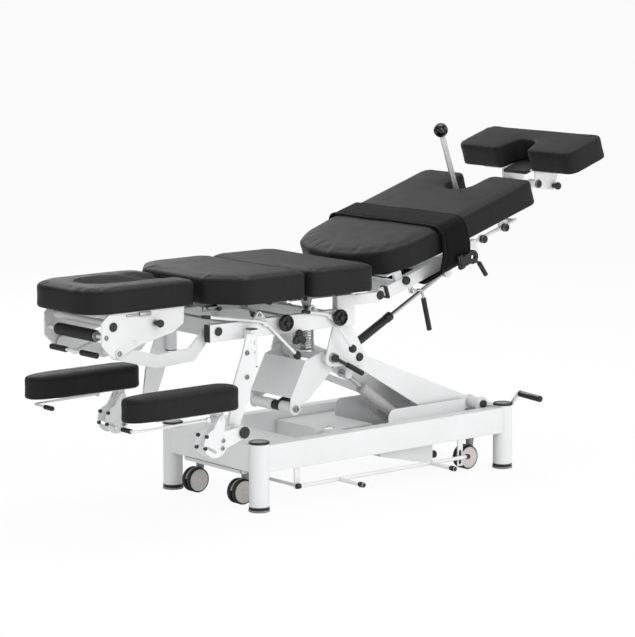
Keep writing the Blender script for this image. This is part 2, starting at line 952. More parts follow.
@dataclass
class Cushion:
    """A covered foam cushion: a sewn top panel, a side band and a flat underside."""

    name: str
    node: str
    body: str
    place: Place
    half: Sequence[Sequence[float]]
    thick: float
    finish: Finish = VINYL
    crown: float = 3.5
    cell: float = 8.0
    swell: float = 4.5
    seam_drop: float = 12.0
    piping: float = 1.2
    margin: float = 1.5
    crown_reach: float = 60
    groove: Point2 = (1.3, 3.5)
    gather: Point3 = (0.35, 16, 34)
    relief: Callable[[np.ndarray, np.ndarray], np.ndarray] | None = None
    panel_seam: Sequence[Point2] = ()
    held: np.ndarray = field(default_factory=lambda: np.zeros(0))
    seam: list[int] = field(default_factory=list)

    @property
    def seam_z(self) -> float:
        """The seam's height over the underside."""
        return self.thick - self.seam_drop

    def profile(self) -> list[Point3]:
        """Returns the rings from the underside up: inset, height and how firmly held."""
        r, foot, seam_z = self.seam_drop, 9, self.seam_z
        rows = max(3, round((seam_z - foot) / self.cell))
        shares = [k / rows for k in range(1, rows)]
        side = [(1.2 * math.sin(math.pi * u), foot + (seam_z - foot) * u, 0.0) for u in shares]
        turn = (0.35, 0.75, 1.15, 1.57)
        edge = [(0.6 + r * (1 - math.cos(a)), seam_z + r * math.sin(a), 0.0) for a in turn]
        return [(14, 0, 1), (5, 0.3, 1), (1.4, 2.8, 1), (0, foot, 0.7), *side, (0.7, seam_z, 1.0), *edge]

    def lowered(self, xy: np.ndarray) -> np.ndarray:
        """Returns how far the top lies below or above its level at each point."""
        return self.relief(xy[:, 0], xy[:, 1]) if self.relief else np.zeros(len(xy))

    def mesh(self) -> bpy.types.Object:
        """Builds the cushion's closed mesh before it is stuffed.

        Returns:
            Its object, not yet placed.
        """
        rim = evenly(outline_of(self.half), self.cell)
        profile = self.profile()
        middle = self.thick * 0.45
        rings, pins = [], []
        for inset, z, held in profile:
            ring = drawn_in(rim, inset + self.margin)
            share = float(soft(np.array((z - middle) / (self.seam_z - middle))))
            rings.append(np.column_stack([ring, z + share * self.lowered(ring)]))
            pins += [held] * len(rim)
        n, m = len(rim), len(profile)
        grid = self.inner_points(rings[-1][:, :2])
        reach = np.array([np.min(np.linalg.norm(rim - p, axis=1)) for p in grid])
        rise = self.crown * (1 - np.exp(-reach / self.crown_reach))
        inner = np.column_stack([grid, self.thick + rise + self.lowered(grid)])
        work = Workpiece(self.place)
        verts = work.verts(np.vstack([*rings, inner]))
        for k in range(m - 1):
            work.bridge(verts[k * n:(k + 1) * n], verts[(k + 1) * n:(k + 2) * n])
        top = verts[(m - 1) * n:]
        panel = filled(np.vstack([rings[-1][:, :2], grid]), n)
        faces = [work.bm.faces.new([top[i] for i in face]) for face in panel]
        bmesh.ops.join_triangles(
            work.bm, faces=faces, angle_face_threshold=0.9, angle_shape_threshold=0.9
        )
        for face in filled(rings[0][:, :2], n):
            work.bm.faces.new([verts[i] for i in reversed(face)])
        seam_ring = profile.index((0.7, self.seam_z, 1.0))
        self.seam = list(range(seam_ring * n, (seam_ring + 1) * n))
        self.held = np.array(pins + [0.0] * len(grid))
        made = work.bare(self.name)
        bpy.context.scene.collection.objects.link(made)
        return made

    def inner_points(self, loop: np.ndarray) -> np.ndarray:
        """Returns a grid of points inside a loop and clear of it."""
        low, high = loop.min(axis=0), loop.max(axis=0)
        counts = np.ceil((high - low) / self.cell).astype(int)
        xs = np.linspace(low[0], high[0], counts[0] + 1)[1:-1]
        ys = np.linspace(low[1], high[1], counts[1] + 1)[1:-1]
        grid = np.array([(x, y) for x in xs for y in ys])
        grid = grid[inside(grid, loop)]
        near = np.array([np.min(np.linalg.norm(loop - p, axis=1)) for p in grid])
        return grid[near > self.cell * 0.62]

    def finished(self, made: bpy.types.Object, stuffed: np.ndarray | None) -> None:
        """Gives the cushion its stuffed shape, its seams and its place.

        Args:
            made: The cushion's object.
            stuffed: Its points after the cloth simulation, or None without one.
        """
        start = coordinates(made.data)
        shape = start
        if stuffed is not None:
            move = stuffed - start
            length = np.linalg.norm(move, axis=1, keepdims=True) + 1e-9
            most = self.swell * MM
            shape = start + move / length * most * np.tanh(length / most)
        made.data.vertices.foreach_set("co", shape.astype(np.float32).ravel())
        made.data.update()
        seam = shape[self.seam]
        subdivide(made)
        self.puckered(made, seam)
        made.data.shade_smooth()
        placed(made, self.body, self.finish, (self.node,))
        self.piped(made, [Vector(p) for p in seam])

    def puckered(self, made: bpy.types.Object, seam: np.ndarray) -> None:
        """Draws the cover in at its seam, with small gathers beside it.

        Args:
            made: The subdivided cushion.
            seam: The seam's points, in metres.
        """
        points = coordinates(made.data)
        normals = np.empty(len(points) * 3, dtype=np.float32)
        made.data.vertices.foreach_get("normal", normals)
        normals = normals.reshape(-1, 3)
        reach, run = np.full(len(points), 1.0), np.zeros(len(points))
        for i, p in enumerate(seam):
            gap = np.linalg.norm(points - p, axis=1)
            nearer = gap < reach
            reach[nearer], run[nearer] = gap[nearer], i * self.cell * MM
        deep, wide = (size * MM for size in self.groove)
        high, fade, pitch = (size * MM for size in self.gather)
        groove = -deep * np.exp(-((reach / wide) ** 2))
        phase = 2.1 * np.sin(run * 9.0) + 1.3 * np.sin(run * 23.0)
        gather = high * np.exp(-reach / fade) * np.sin(run * 2 * math.pi / pitch + phase)
        gather[reach <= 2 * MM] = 0.0
        points += normals * (groove + gather)[:, None]
        made.data.vertices.foreach_set("co", points.astype(np.float32).ravel())
        made.data.update()

    def piped(self, made: bpy.types.Object, seam: list[Vector]) -> None:
        """Sews the piping along the cushion's seams.

        Args:
            made: The finished cushion.
            seam: The seam's points.
        """
        tree = BVHTree.FromObject(made, bpy.context.evaluated_depsgraph_get())
        work = Workpiece()
        work.swept([snapped(tree, p) for p in seam], self.piping, 8, closed=True)
        if len(self.panel_seam):
            down = self.place.at(0, 0, -1) - self.place.at(0, 0, 0)
            path = []
            for x, y in self.panel_seam:
                hit = tree.ray_cast(self.place.at(x, y, self.thick + 40), down.normalized())
                if hit[0] is not None:
                    path.append(hit[0])
            work.swept(path, self.piping, 8)
        work.done(f"{self.name}_piping", self.body, VINYL_PIPING)


def snapped(tree: BVHTree, point: Vector) -> Vector:
    """Returns the nearest place on a surface to a point."""
    hit = tree.find_nearest(point)
    return hit[0] if hit[0] is not None else point


def subdivide(made: bpy.types.Object) -> None:
    """Subdivides an object's mesh once, smoothly, and keeps the result."""
    step = made.modifiers.new("smooth", "SUBSURF")
    step.levels = step.render_levels = 1
    depsgraph = bpy.context.evaluated_depsgraph_get()
    mesh = bpy.data.meshes.new_from_object(made.evaluated_get(depsgraph))
    made.modifiers.remove(step)
    made.data = mesh


@dataclass
class Stuffing:
    """Cloth simulation that swells all the cushions together."""

    frames: int = 20
    pressure: float = 4.0

    def held(self, made: bpy.types.Object, firm: np.ndarray) -> None:
        """Sets a cushion up as cloth.

        Args:
            made: The cushion.
            firm: How firmly each point is held, from 0 to 1.
        """
        group = made.vertex_groups.new(name="held")
        for weight in sorted(set(firm[firm > 0])):
            group.add([int(i) for i in np.flatnonzero(firm == weight)], float(weight), "REPLACE")
        cloth = made.modifiers.new("stuffing", "CLOTH")
        rule = cloth.settings
        rule.quality = 5
        rule.mass = 0.3
        rule.tension_stiffness = rule.compression_stiffness = 22
        rule.shear_stiffness = 8
        rule.bending_stiffness = 3
        rule.use_pressure = True
        rule.uniform_pressure_force = self.pressure
        rule.vertex_group_mass = group.name
        rule.effector_weights.gravity = 0
        cloth.collision_settings.use_collision = False
        cloth.point_cache.frame_start, cloth.point_cache.frame_end = 1, self.frames

    def run(self, made: Sequence[bpy.types.Object]) -> list[np.ndarray]:
        """Steps the simulation and returns each cushion's swollen points."""
        scene = bpy.context.scene
        for frame in range(1, self.frames + 1):
            scene.frame_set(frame)
        depsgraph = bpy.context.evaluated_depsgraph_get()
        shapes = []
        for each in made:
            shapes.append(coordinates(each.evaluated_get(depsgraph).data))
        for each in made:
            each.modifiers.clear()
            each.vertex_groups.clear()
        scene.frame_set(1)
        return shapes


def trough(x: np.ndarray, y: np.ndarray) -> np.ndarray:
    """Returns the height of the head cushion's face trough, which lies below its top."""
    length, depth, start, ramp, flat_share = 460, 27, 85, 70, 0.35
    half = np.interp(x / length, [0.16, 0.3, 0.55, 0.8, 1.0], [40, 84, 98, 84, 72])
    across = 1 - soft((np.abs(y) / half - flat_share) / (1 - flat_share))
    return -depth * across * soft((x - start) / ramp)


@dataclass
class Upholstery:
    """All the table's cushions."""

    width: float = 600
    corner_r: float = 42
    seat_z: float = 260
    arm_spread: float = 286

    def cushions(self) -> list[Cushion]:
        """Returns the table's cushions, their places and outlines."""
        w, c, z = self.width / 2, self.corner_r, self.seat_z
        chest = [(0, 0), (0, -175, c), (100, -w, 60), (375, -w, c), (375, 0)]
        hips = [(0, 0), (0, -w, c), (300, -w, c), (300, 0)]
        head = [(0, 0), (0, -186, 100), (460, -186, c), (460, 0)]
        face = [(458, -70), (368, -82), (253, -94), (160, -84), (112, -58), (92, -28), (87, 0)]
        face += [(x, -y) for x, y in face[-2::-1]]
        legs = [
            (0, 0), (0.05 * w, -0.42 * w, 90), (0.22 * w, -0.80 * w, 90), (0.50 * w, -0.95 * w, 90),
            (0.98 * w, -w, 90), (796, -w, c), (796, -67, 36), (648, -67, 56), (648, 0),
        ]
        feet = [(95, 0), (95, -50, 42), (0, -80, c / 2), (0, -312, c), (203, -312, c), (203, 0)]
        arm = [(0, 0), (0, -20, 30), (26, -46, 80), (112, -60, 220), (467, -60, 56), (467, 0)]
        seat = {"thick": 94}
        head_style = {"thick": 84, "relief": trough, "panel_seam": face, "crown": 2.5}
        arm_style = {"thick": 80, "crown": 3, "cell": 7, "swell": 3, "seam_drop": 14}
        rows = [
            ("chest_pad", "thoracic_cushion", "thoracic_section", DECK.moved(-724, 0, z), chest, seat),
            ("hip_pad", "lumbar_cushion", "lumbar_section", DECK.moved(-339, 0, z), hips, seat),
            ("head_pad", "head_cushion", "head_section", DECK.moved(-1206, 0, z + 3), head, head_style),
            ("leg_pad", "leg_cushion", "leg_section", LEG.moved(-36, 0, 70), legs, {"thick": 90}),
            ("foot_pad", "foot_cushion", "foot_section", FOOT.moved(-15, 0, 56), feet, {"thick": 88}),
        ]
        for side, way in (("near", NEAR), ("far", FAR)):
            place = DECK.moved(-1138, self.arm_spread * way, -85)
            body = f"arm_pad_{side}"
            rows.append((f"armrest_pad_{side}", body, body, place, arm, arm_style))
        return [Cushion(*row, **style) for *row, style in rows]

    def build(self) -> None:
        """Builds, stuffs and finishes every cushion."""
        cushions = self.cushions()
        made = [cushion.mesh() for cushion in cushions]
        shapes: list[np.ndarray | None] = [None] * len(made)
        stuffing = Stuffing()
        for cushion, each in zip(cushions, made):
            stuffing.held(each, cushion.held)
        shapes = list(stuffing.run(made))
        for cushion, each, shape in zip(cushions, made, shapes):
            cushion.finished(each, shape)


@dataclass
class LegStrap:
    """The wide woven strap round the leg cushion, with its ratchet on the near side."""

    start: float = 252
    width: float = 126
    flare: float = 38
    trail: float = 44
    thick: float = 3.4
    fold: float = 15
    top: float = 160
    half_width: float = 300
    gap: float = 1.2
    low: float = -38
    tuck: float = 206
    eye: Point2 = (359, 15)
    grip: tuple[Point2, Point2] = ((384, -18), (404, -76))

    def path(self) -> np.ndarray:
        """Returns the strap's closed way round the cushion, as y and height in millimetres."""
        side, high = self.half_width + self.gap + 2.4, self.top + self.gap
        half = [
            (0, high + 5.6), (-side - 8, high + 3.5, 38), (-side - 12, 70, 80), (-side + 4, 6, 40),
            (-self.tuck, self.low, 22), (0, self.low),
        ]
        near = rounded(half)
        return evenly(np.array(near + [(-y, z) for y, z in near[-2:0:-1]]), 8.0)

    def section(self) -> list[Point2]:
        """Returns the strap's cross-section: across its width and out from the cushion."""
        w, t, f = self.width, self.thick, self.fold
        outer = [
            (0, 1.5), (0.6, t * 1.9), (2.2, t * 2.4), (f * 0.5, t * 2.5), (f - 2.2, t * 2.3),
            (f - 0.6, t * 1.8), (f + 0.8, t * 0.9), (f + 4, t * 0.9), (f + 7, t * 1.5), (f + 12, t * 1.6),
            (w * 0.35, t * 1.5), (w * 0.55, t * 1.35), (w * 0.75, t * 1.4), (w - 13, t * 1.3),
            (w - 11, t), (w - 9, t * 1.3), (w - 2, t * 1.2), (w - 0.6, t * 0.9), (w, 1.0),
        ]
        return outer + [(w - 3, 0), (w * 0.5, 0), (3, 0)]

    def build(self) -> None:
        """Builds the strap as a woven band with its folded edge, and its ratchet."""
        loop = self.path()
        n = len(loop)
        along = np.roll(loop, -1, axis=0) - np.roll(loop, 1, axis=0)
        along /= np.linalg.norm(along, axis=1, keepdims=True)
        out = np.column_stack([-along[:, 1], along[:, 0]])
        if np.sum((loop - loop.mean(axis=0)) * out) < 0:
            out = -out
        down = soft((self.top - 4 - loop[:, 1]) / (self.top - self.low))
        work = Workpiece(LEG)
        rings = []
        for i, (p, o, low) in enumerate(zip(loop, out, down)):
            sway = 2.0 * math.sin(i * 2 * math.pi * 3 / n) + 1.2 * math.sin(i * 2 * math.pi * 7 / n + 1)
            scale = 1 + self.flare / self.width * low
            ring = []
            for across, rise in self.section():
                ripple = 0.5 * math.sin(i * 0.9 + across * 0.11) * (rise > 0.5)
                q = p + o * (rise + ripple)
                u = self.start - self.trail * low + across * scale + sway
                ring.append((u, *q))
            rings.append(work.verts(ring))
        work.lofted(rings, closed=True)
        strap = work.done("leg_strap_band", "leg_section", WEBBING, "leg_strap", crease=60)
        self.ratchet()

    def ratchet(self) -> None:
        """Builds the ratchet: two ring cheeks, a toothed drum, a body plate and a handle."""
        y = -self.half_width - 26
        place = LEG.moved(self.eye[0], 0, self.eye[1])
        work = Workpiece(place)
        for y0 in (y - 5, y + 2.6):
            cheek = [(0, 9), (0, 25), (0.5, 26), (1.9, 26), (2.4, 25), (2.4, 9)]
            work.turned((0, y0, 0), (0, y0 + 1, 0), cheek, 36, hollow=True)
        drum = [(0, 9), (0, 20), (1, 21), (5, 21), (6, 20), (6, 9)]
        work.turned((0, y - 3, 0), (0, y, 0), drum, 18, hollow=True)
        work.block((-60, y - 6, -20), (-18, y + 12, 20), 4.0)
        work.block((-66, y - 2, -26), (-42, y + 14, 26), 4.0)
        work.done("strap_ratchet_body", "leg_section", BLACK, "strap_ratchet")
        start, end = (LEG.at(x, y, z) for x, z in self.grip)
        work = Workpiece(place)
        work.swept([(8, y, -18), start, start.lerp(end, 0.4)], 5.4, 12)
        work.ribbed(start, end, 8.8, (end - start).length / MM, 6)
        work.done("strap_ratchet_handle", "leg_section", GRIP)


# Sub-assemblies


@dataclass
class Castors:
    """Four twin-wheel castors: tyres, discs with a raised ring, and their housings."""

    places: tuple[Point2, ...] = ((-550, -130), (-550, 130), (470, -190), (470, 190))
    trail: float = 22
    height: float = 50
    radius: float = 45
    inner: float = 5
    width: float = 18
    guard_r: Point2 = (33, 43)
    guard_half: float = 4.2
    socket: Point2 = (36, 69.4)

    def build(self) -> None:
        """Builds each castor."""
        for number, (x, y) in enumerate(self.places, 1):
            hub = BASE.moved(x - self.trail, y, self.height)
            self.wheels(number, hub)
            self.housing(number, hub)

    def wheels(self, number: int, hub: Place) -> None:
        """Builds the twin wheels of one castor.

        Args:
            number: The castor's number.
            hub: The middle of its axle.
        """
        r, w = self.radius, self.width
        tyres, discs = Workpiece(hub), Workpiece(hub)
        for way in SIDES:
            axle = (0, way * self.inner, 0), (0, way * (self.inner + w), 0)
            tyres.turned(*axle, [
                (0, r * 0.84), (0, r - 3), (1.2, r - 0.8), (3.5, r), (w - 4, r), (w - 1.6, r - 1.1),
                (w - 0.4, r - 3), (w - 0.3, r * 0.89), (w - 2.6, r * 0.87),
            ], 48)
            discs.turned(*axle, [
                (0.2, r * 0.6), (0.2, r * 0.86), (w - 3.4, r * 0.885), (w - 1.0, r * 0.88),
                (w - 0.2, r * 0.85), (w - 0.9, r * 0.81), (w - 2.4, r * 0.78), (w - 2.6, r * 0.40),
                (w - 2.2, r * 0.25),
                (w - 0.6, r * 0.21), (w - 0.4, r * 0.1), (w - 0.5, 0),
            ], 48)
        wheel = f"castor_wheel_{number}"
        tyres.done(f"castor_tyres_{number}", wheel, TYRE, wheel)
        discs.done(f"castor_discs_{number}", wheel, DISC_GREY)

    def housing(self, number: int, hub: Place) -> None:
        """Builds the guard between the wheels and the socket under the bar.

        Args:
            number: The castor's number.
            hub: The middle of its axle.
        """
        work = Workpiece(hub)
        inner, outer = (arc_points(0, 0, r, range(-20, 171, 10)) for r in self.guard_r)
        work.plate(outer + inner[::-1], -self.guard_half, self.guard_half, 1.0)
        low, high = self.socket
        work.turned(
            (self.trail, 0, low), (self.trail, 0, high),
            [(0, 10), (2, 13), (20, 14.5), (30, 16.5), (high - low, 16.5)], 28,
        )
        work.done(f"castor_guard_{number}", f"castor_fork_{number}", HOUSING_GREY)


@dataclass
class BaseTrim:
    """Caps, glides, grips and bolts of the base."""

    post: Point2 = (583, 249)
    post_top: float = 239.6
    arm_pivot: Point2 = (521, 243)
    arm_pivot_y: float = 210
    actuator_pin: Point2 = (260, 170)
    actuator_lugs: Point2 = (-90, 28)
    pedal: tuple[Point3, Point3] = ((630, -290, 281.6), (630, -388, 276))
    pedal_length: float = 113
    bar_z: float = 73
    arms: Sequence[Point2] = ((-246, 391), (189, 391))
    bar_ends: Sequence[tuple[float, int]] = ((-424, -1), (367, 1))
    bar_y: float = 280

    def build(self) -> None:
        """Builds the base's small pieces."""
        self.posts()
        self.pins()
        work = Workpiece()
        work.ribbed(*self.pedal, 12, self.pedal_length, 12)
        work.done("pedal_grip", "pedal", GRIP)
        self.switch_bar_caps()

    def posts(self) -> None:
        """Builds the lids and discs on the posts, and the glides under them."""
        lids, discs, glides = Workpiece(), Workpiece(), Workpiece()
        for x in (-self.post[0], self.post[0]):
            for y in (-self.post[1], self.post[1]):
                top = (x, y, self.post_top), (x, y, self.post_top + 10)
                lids.turned(*top, [
                    (0, 36.9), (4.5, 36.9), (7.2, 35.6), (8.4, 32.5), (8.0, 29.5), (6.4, 27), (6.4, 0),
                ], 48)
                discs.turned(*top, [(5, 27), (6.8, 27), (7.3, 26), (7.6, 14), (7.9, 0)], 48)
                glides.turned((x, y, 0), (x, y, 10), [
                    (0, 34.5), (0.8, 37.2), (2.4, 38), (5.6, 38),
                    (7.2, 36.4), (8.0, 33.5), (8.3, 10), (22, 9),
                ], 48)
        lids.done("post_cap_lids", "base", BLACK)
        discs.done("post_cap_discs", "base", GLIDE_GREY)
        glides.done("glide_feet", "base", GLIDE_GREY, "levelling_feet")

    def pins(self) -> None:
        """Builds the bolts of the actuator's foot and the caps on the lift arm's pivot."""
        bolts, caps = Workpiece(), Workpiece()
        middle, reach = self.actuator_lugs
        for way in SIDES:
            bolts.bolt(*self.actuator_pin, middle + way * reach, way, 7)
            caps.cap(*self.arm_pivot, way * self.arm_pivot_y, 14.5, 6)
        bolts.done("base_bolts", "base", ZINC)
        caps.done("base_pivot_caps", "base", BLACK)

    def switch_bar_caps(self) -> None:
        """Builds the rubber tips on the foot switch bar's arms and ends."""
        work, z = Workpiece(), self.bar_z
        for way in SIDES:
            for x, y in self.arms:
                work.turned((x, way * y, z), (x, way * (y + 1), z), [
                    (0, 7.6), (0.8, 9.2), (2, 9.6), (23, 9.6), (25, 8.2), (25.8, 5.5), (26, 0),
                ], 24)
            for x, dx in self.bar_ends:
                y = way * self.bar_y
                work.turned((x, y, z), (x + dx, y, z), [
                    (0, 7.6), (0.8, 9.4), (14, 9.6), (16, 8.4), (16.9, 5.5), (17, 0),
                ], 24)
        work.done("switch_bar_caps", "switch_bar", BLACK)


@dataclass(frozen=True)
class DropSection:
    """Where the pieces of one drop section lie: its rails, tension wheel and cocking lever."""

    name: str
    rails: Point2
    wheel: Point2
    pivot: Point2
    lever: Sequence[Point2]
    ball_y: float


@dataclass
class LiftGear:
    """Small pieces of the lift, of the deck and of its two drop sections."""

    rod: tuple[Point3, Point3] = ((260, -90, 170), (-57.986, -90, 406.96))
    tube_ends: Point2 = (38, 272)
    arm_pivot_y: float = 159.5
    yoke_pivot: Point3 = (-654, 316.5, -172)
    strut_pin: Point3 = (-264, 120.5, -165)
    hanger_bolts: Sequence[Point2] = ((-592, 89), (-593, 5))
    hanger_y: float = 254
    board_z: float = 247.4
    clamp: Point3 = (-339, -219.8, 112)
    lock: tuple[Point2, Point2] = ((-124, 10), (-4, -55))
    lock_y: float = -171
    lever_y: float = -213
    wheel_y: float = -219
    sections: tuple[DropSection, ...] = (
        DropSection(
            "thoracic", (-706, -372), (-398, 170), (-478, 174),
            ((-754, 225), (-496, 184), (-465, 167), (-335, 48)), -213,
        ),
        DropSection(
            "lumbar", (-322, -52), (-151, 166), (-186, 171),
            ((-312, 201), (-202, 182), (-170, 160), (-87, 47)), -221.5,
        ),
    )

    def build(self) -> None:
        """Builds the lift's and the deck's small pieces."""
        self.actuator()
        self.deck_bolts()
        for section in self.sections:
            self.drop_rails(section)
        self.clamp_knob()
        self.lock_lever()
        for section in self.sections:
            self.lever(section)
        for section in self.sections:
            self.tension_wheel(section)

    def actuator(self) -> None:
        """Builds the actuator's end collars."""
        foot, head = BASE.span(*self.rod)
        axis = (head - foot).normalized() * MM
        low, high = self.tube_ends
        work = Workpiece()
        work.turned(foot + axis * high, head, [
            (0, 21.3), (2, 22.8), (22, 22.8), (26, 21.5), (29, 15.5), (30.5, 10.3),
        ])
        work.turned(foot + axis * low, head, [(0, 21.3), (1.5, 23.4), (12, 23.4), (14, 21.3)])
        work.done("actuator_collars", "actuator_housing", ACTUATOR_GREY)

    def deck_bolts(self) -> None:
        """Builds the caps on the pedestal's pivots and the bolts of the hangers."""
        bolts, caps = Workpiece(DECK), Workpiece(DECK)
        x, y, z = self.yoke_pivot
        u, v, w = self.strut_pin
        for way in SIDES:
            caps.cap(0, 0, way * self.arm_pivot_y, 14.5, 6)
            caps.cap(x, z, way * y, 20.5, 6)
            bolts.bolt(u, w, way * v, way, 9)
            for at in self.hanger_bolts:
                bolts.bolt(*at, way * self.hanger_y, way, 7)
        caps.done("deck_pivot_caps", "deck", BLACK)
        bolts.done("deck_bolts", "deck", ZINC)

    def drop_rails(self, section: DropSection) -> None:
        """Builds the steel rails under a drop board, with their bolts and stops.

        Args:
            section: The drop section.
        """
        x0, x1 = section.rails
        top, face = self.board_z, 158
        rails, stops = Workpiece(DECK), Workpiece(DECK)
        for way in SIDES:
            rails.block((x0, way * (face - 8), top - 16.4), (x1, way * face, top), 1.2)
            rails.block((x0 + 14, way * 128, top - 7.4), (x0 + 64, way * 168, top + 0.2), 1.4)
            for x in (x0 + 22, (x0 + x1) / 2, x1 - 22):
                rails.bolt(x, top - 8.4, way * face, way, 4.6)
            for x in (x0 + 60, x1 - 50):
                stops.turned(
                    (x, way * face, top - 9.4), (x, way * (face + 1), top - 9.4),
                    [(0, 7), (3, 8), (14, 8), (16, 6.4), (16.4, 0)], 20,
                )
        rails.done(f"{section.name}_drop_rails", f"{section.name}_section", MECHANISM)
        stops.done(f"{section.name}_drop_stops", f"{section.name}_section", TYRE)

    def clamp_knob(self) -> None:
        """Builds the three-lobed clamp knob and its stud."""
        x, y, z = self.clamp
        work = Workpiece(DECK)
        work.lobed(x, z, y, 31, 17, 3, 0.52)
        work.done("clamp_knob_lobes", "clamp_knob", BLACK, "clamp_knob")
        work = Workpiece(DECK)
        work.turned((x, y - 1.2, z), (x, y, z), [
            (0, 5), (10, 5), (11, 8), (14, 8), (14.2, 5), (24, 5), (24.5, 4.4),
        ], 20)
        work.done("clamp_knob_stud", "clamp_knob", ZINC)

    def lock_lever(self) -> None:
        """Builds the grip and the collar of the lock lever."""
        (x, z), (x1, z1) = self.lock
        pivot, end = DECK.span((x, self.lock_y, z), (x1, self.lock_y, z1))
        start = pivot.lerp(end, 0.45)
        work = Workpiece(DECK)
        work.ribbed(start, end, 9.7, (end - start).length / MM + 9.6, 7)
        work.done("lock_lever_grip", "lock_lever", GRIP)
        work = Workpiece(DECK)
        work.turned((x, -156.5, z), (x, self.lock_y, z), [
            (0, 15), (0.6, 18), (3, 18), (4, 16.5), (9, 15.5), (10, 8.2), (0, 8.2),
        ], hollow=True)
        work.done("lock_lever_collar", "lock_lever", ZINC)

    def lever(self, section: DropSection) -> None:
        """Builds a section's cocking lever as a smoothly bent bar with a ball and a grip.

        Args:
            section: The drop section.
        """
        points = [DECK.at(x, self.lever_y, z) for x, z in section.lever]
        x, z = section.lever[-1]
        points[-1] = DECK.at(x, section.ball_y, z)
        work = Workpiece(DECK)
        work.swept(bent(points, 0.035), 5.4)
        x, z = section.pivot
        work.turned((x, self.lever_y - 4.5, z), (x, self.lever_y, z), [
            (0, 6), (1, 8.6), (2, 9), (11.2, 9), (11.4, 5), (38, 5),
        ], 24)
        body = f"{section.name}_lever"
        work.done(f"{body}_bar", body, WHITE, body)
        work = Workpiece(DECK)
        work.ball(points[-1], 15)
        tip = points[0] + (points[1] - points[0]).normalized() * 34 * MM
        work.ribbed(tip, points[0], 6.6, 35.5, 4)
        work.done(f"{body}_knob", body, BLACK)

    def tension_wheel(self, section: DropSection) -> None:
        """Builds a section's tension wheel: a scalloped rim, spokes, a hub and a shaft.

        Args:
            section: The drop section.
        """
        (x, z), y = section.wheel, self.wheel_y
        work = Workpiece(DECK)
        rim = []
        for dy, radius in (
            (0, 26.5), (2, 28.6), (6, 30), (14, 30), (18, 28.6), (20, 26.5), (20, 22), (17, 20.5), (14, 20),
        ):
            ring = []
            for k in range(96):
                a = 2 * math.pi * k / 96
                dip = 1.6 * max(0.0, math.cos(12 * a)) ** 2 if radius > 26 else 0.0
                ring.append((x + (radius - dip) * math.cos(a), y - dy, z + (radius - dip) * math.sin(a)))
            rim.append(work.verts(ring))
        work.lofted(rim)
        for k in range(5):
            spoke = Place(Matrix.Translation(DECK.at(x, 0, z)) @ Matrix.Rotation(2 * math.pi * k / 5, 4, "Y"))
            work.block((5, y - 18, -2.4), (22, y - 12, 2.4), 1.0, spoke)
        hub = [(0, 10), (9, 10), (11.5, 8.6), (13, 6), (13.2, 0)]
        work.turned((x, y - 11, z), (x, y - 12, z), hub, 28)
        body = f"{section.name}_wheel"
        work.done(f"{body}_rim", body, BLACK, body)
        work = Workpiece(DECK)
        work.turned((x, y - 1, z), (x, y, z), [(0, 6), (43, 6)], 20)
        work.done(f"{body}_shaft", body, ZINC)


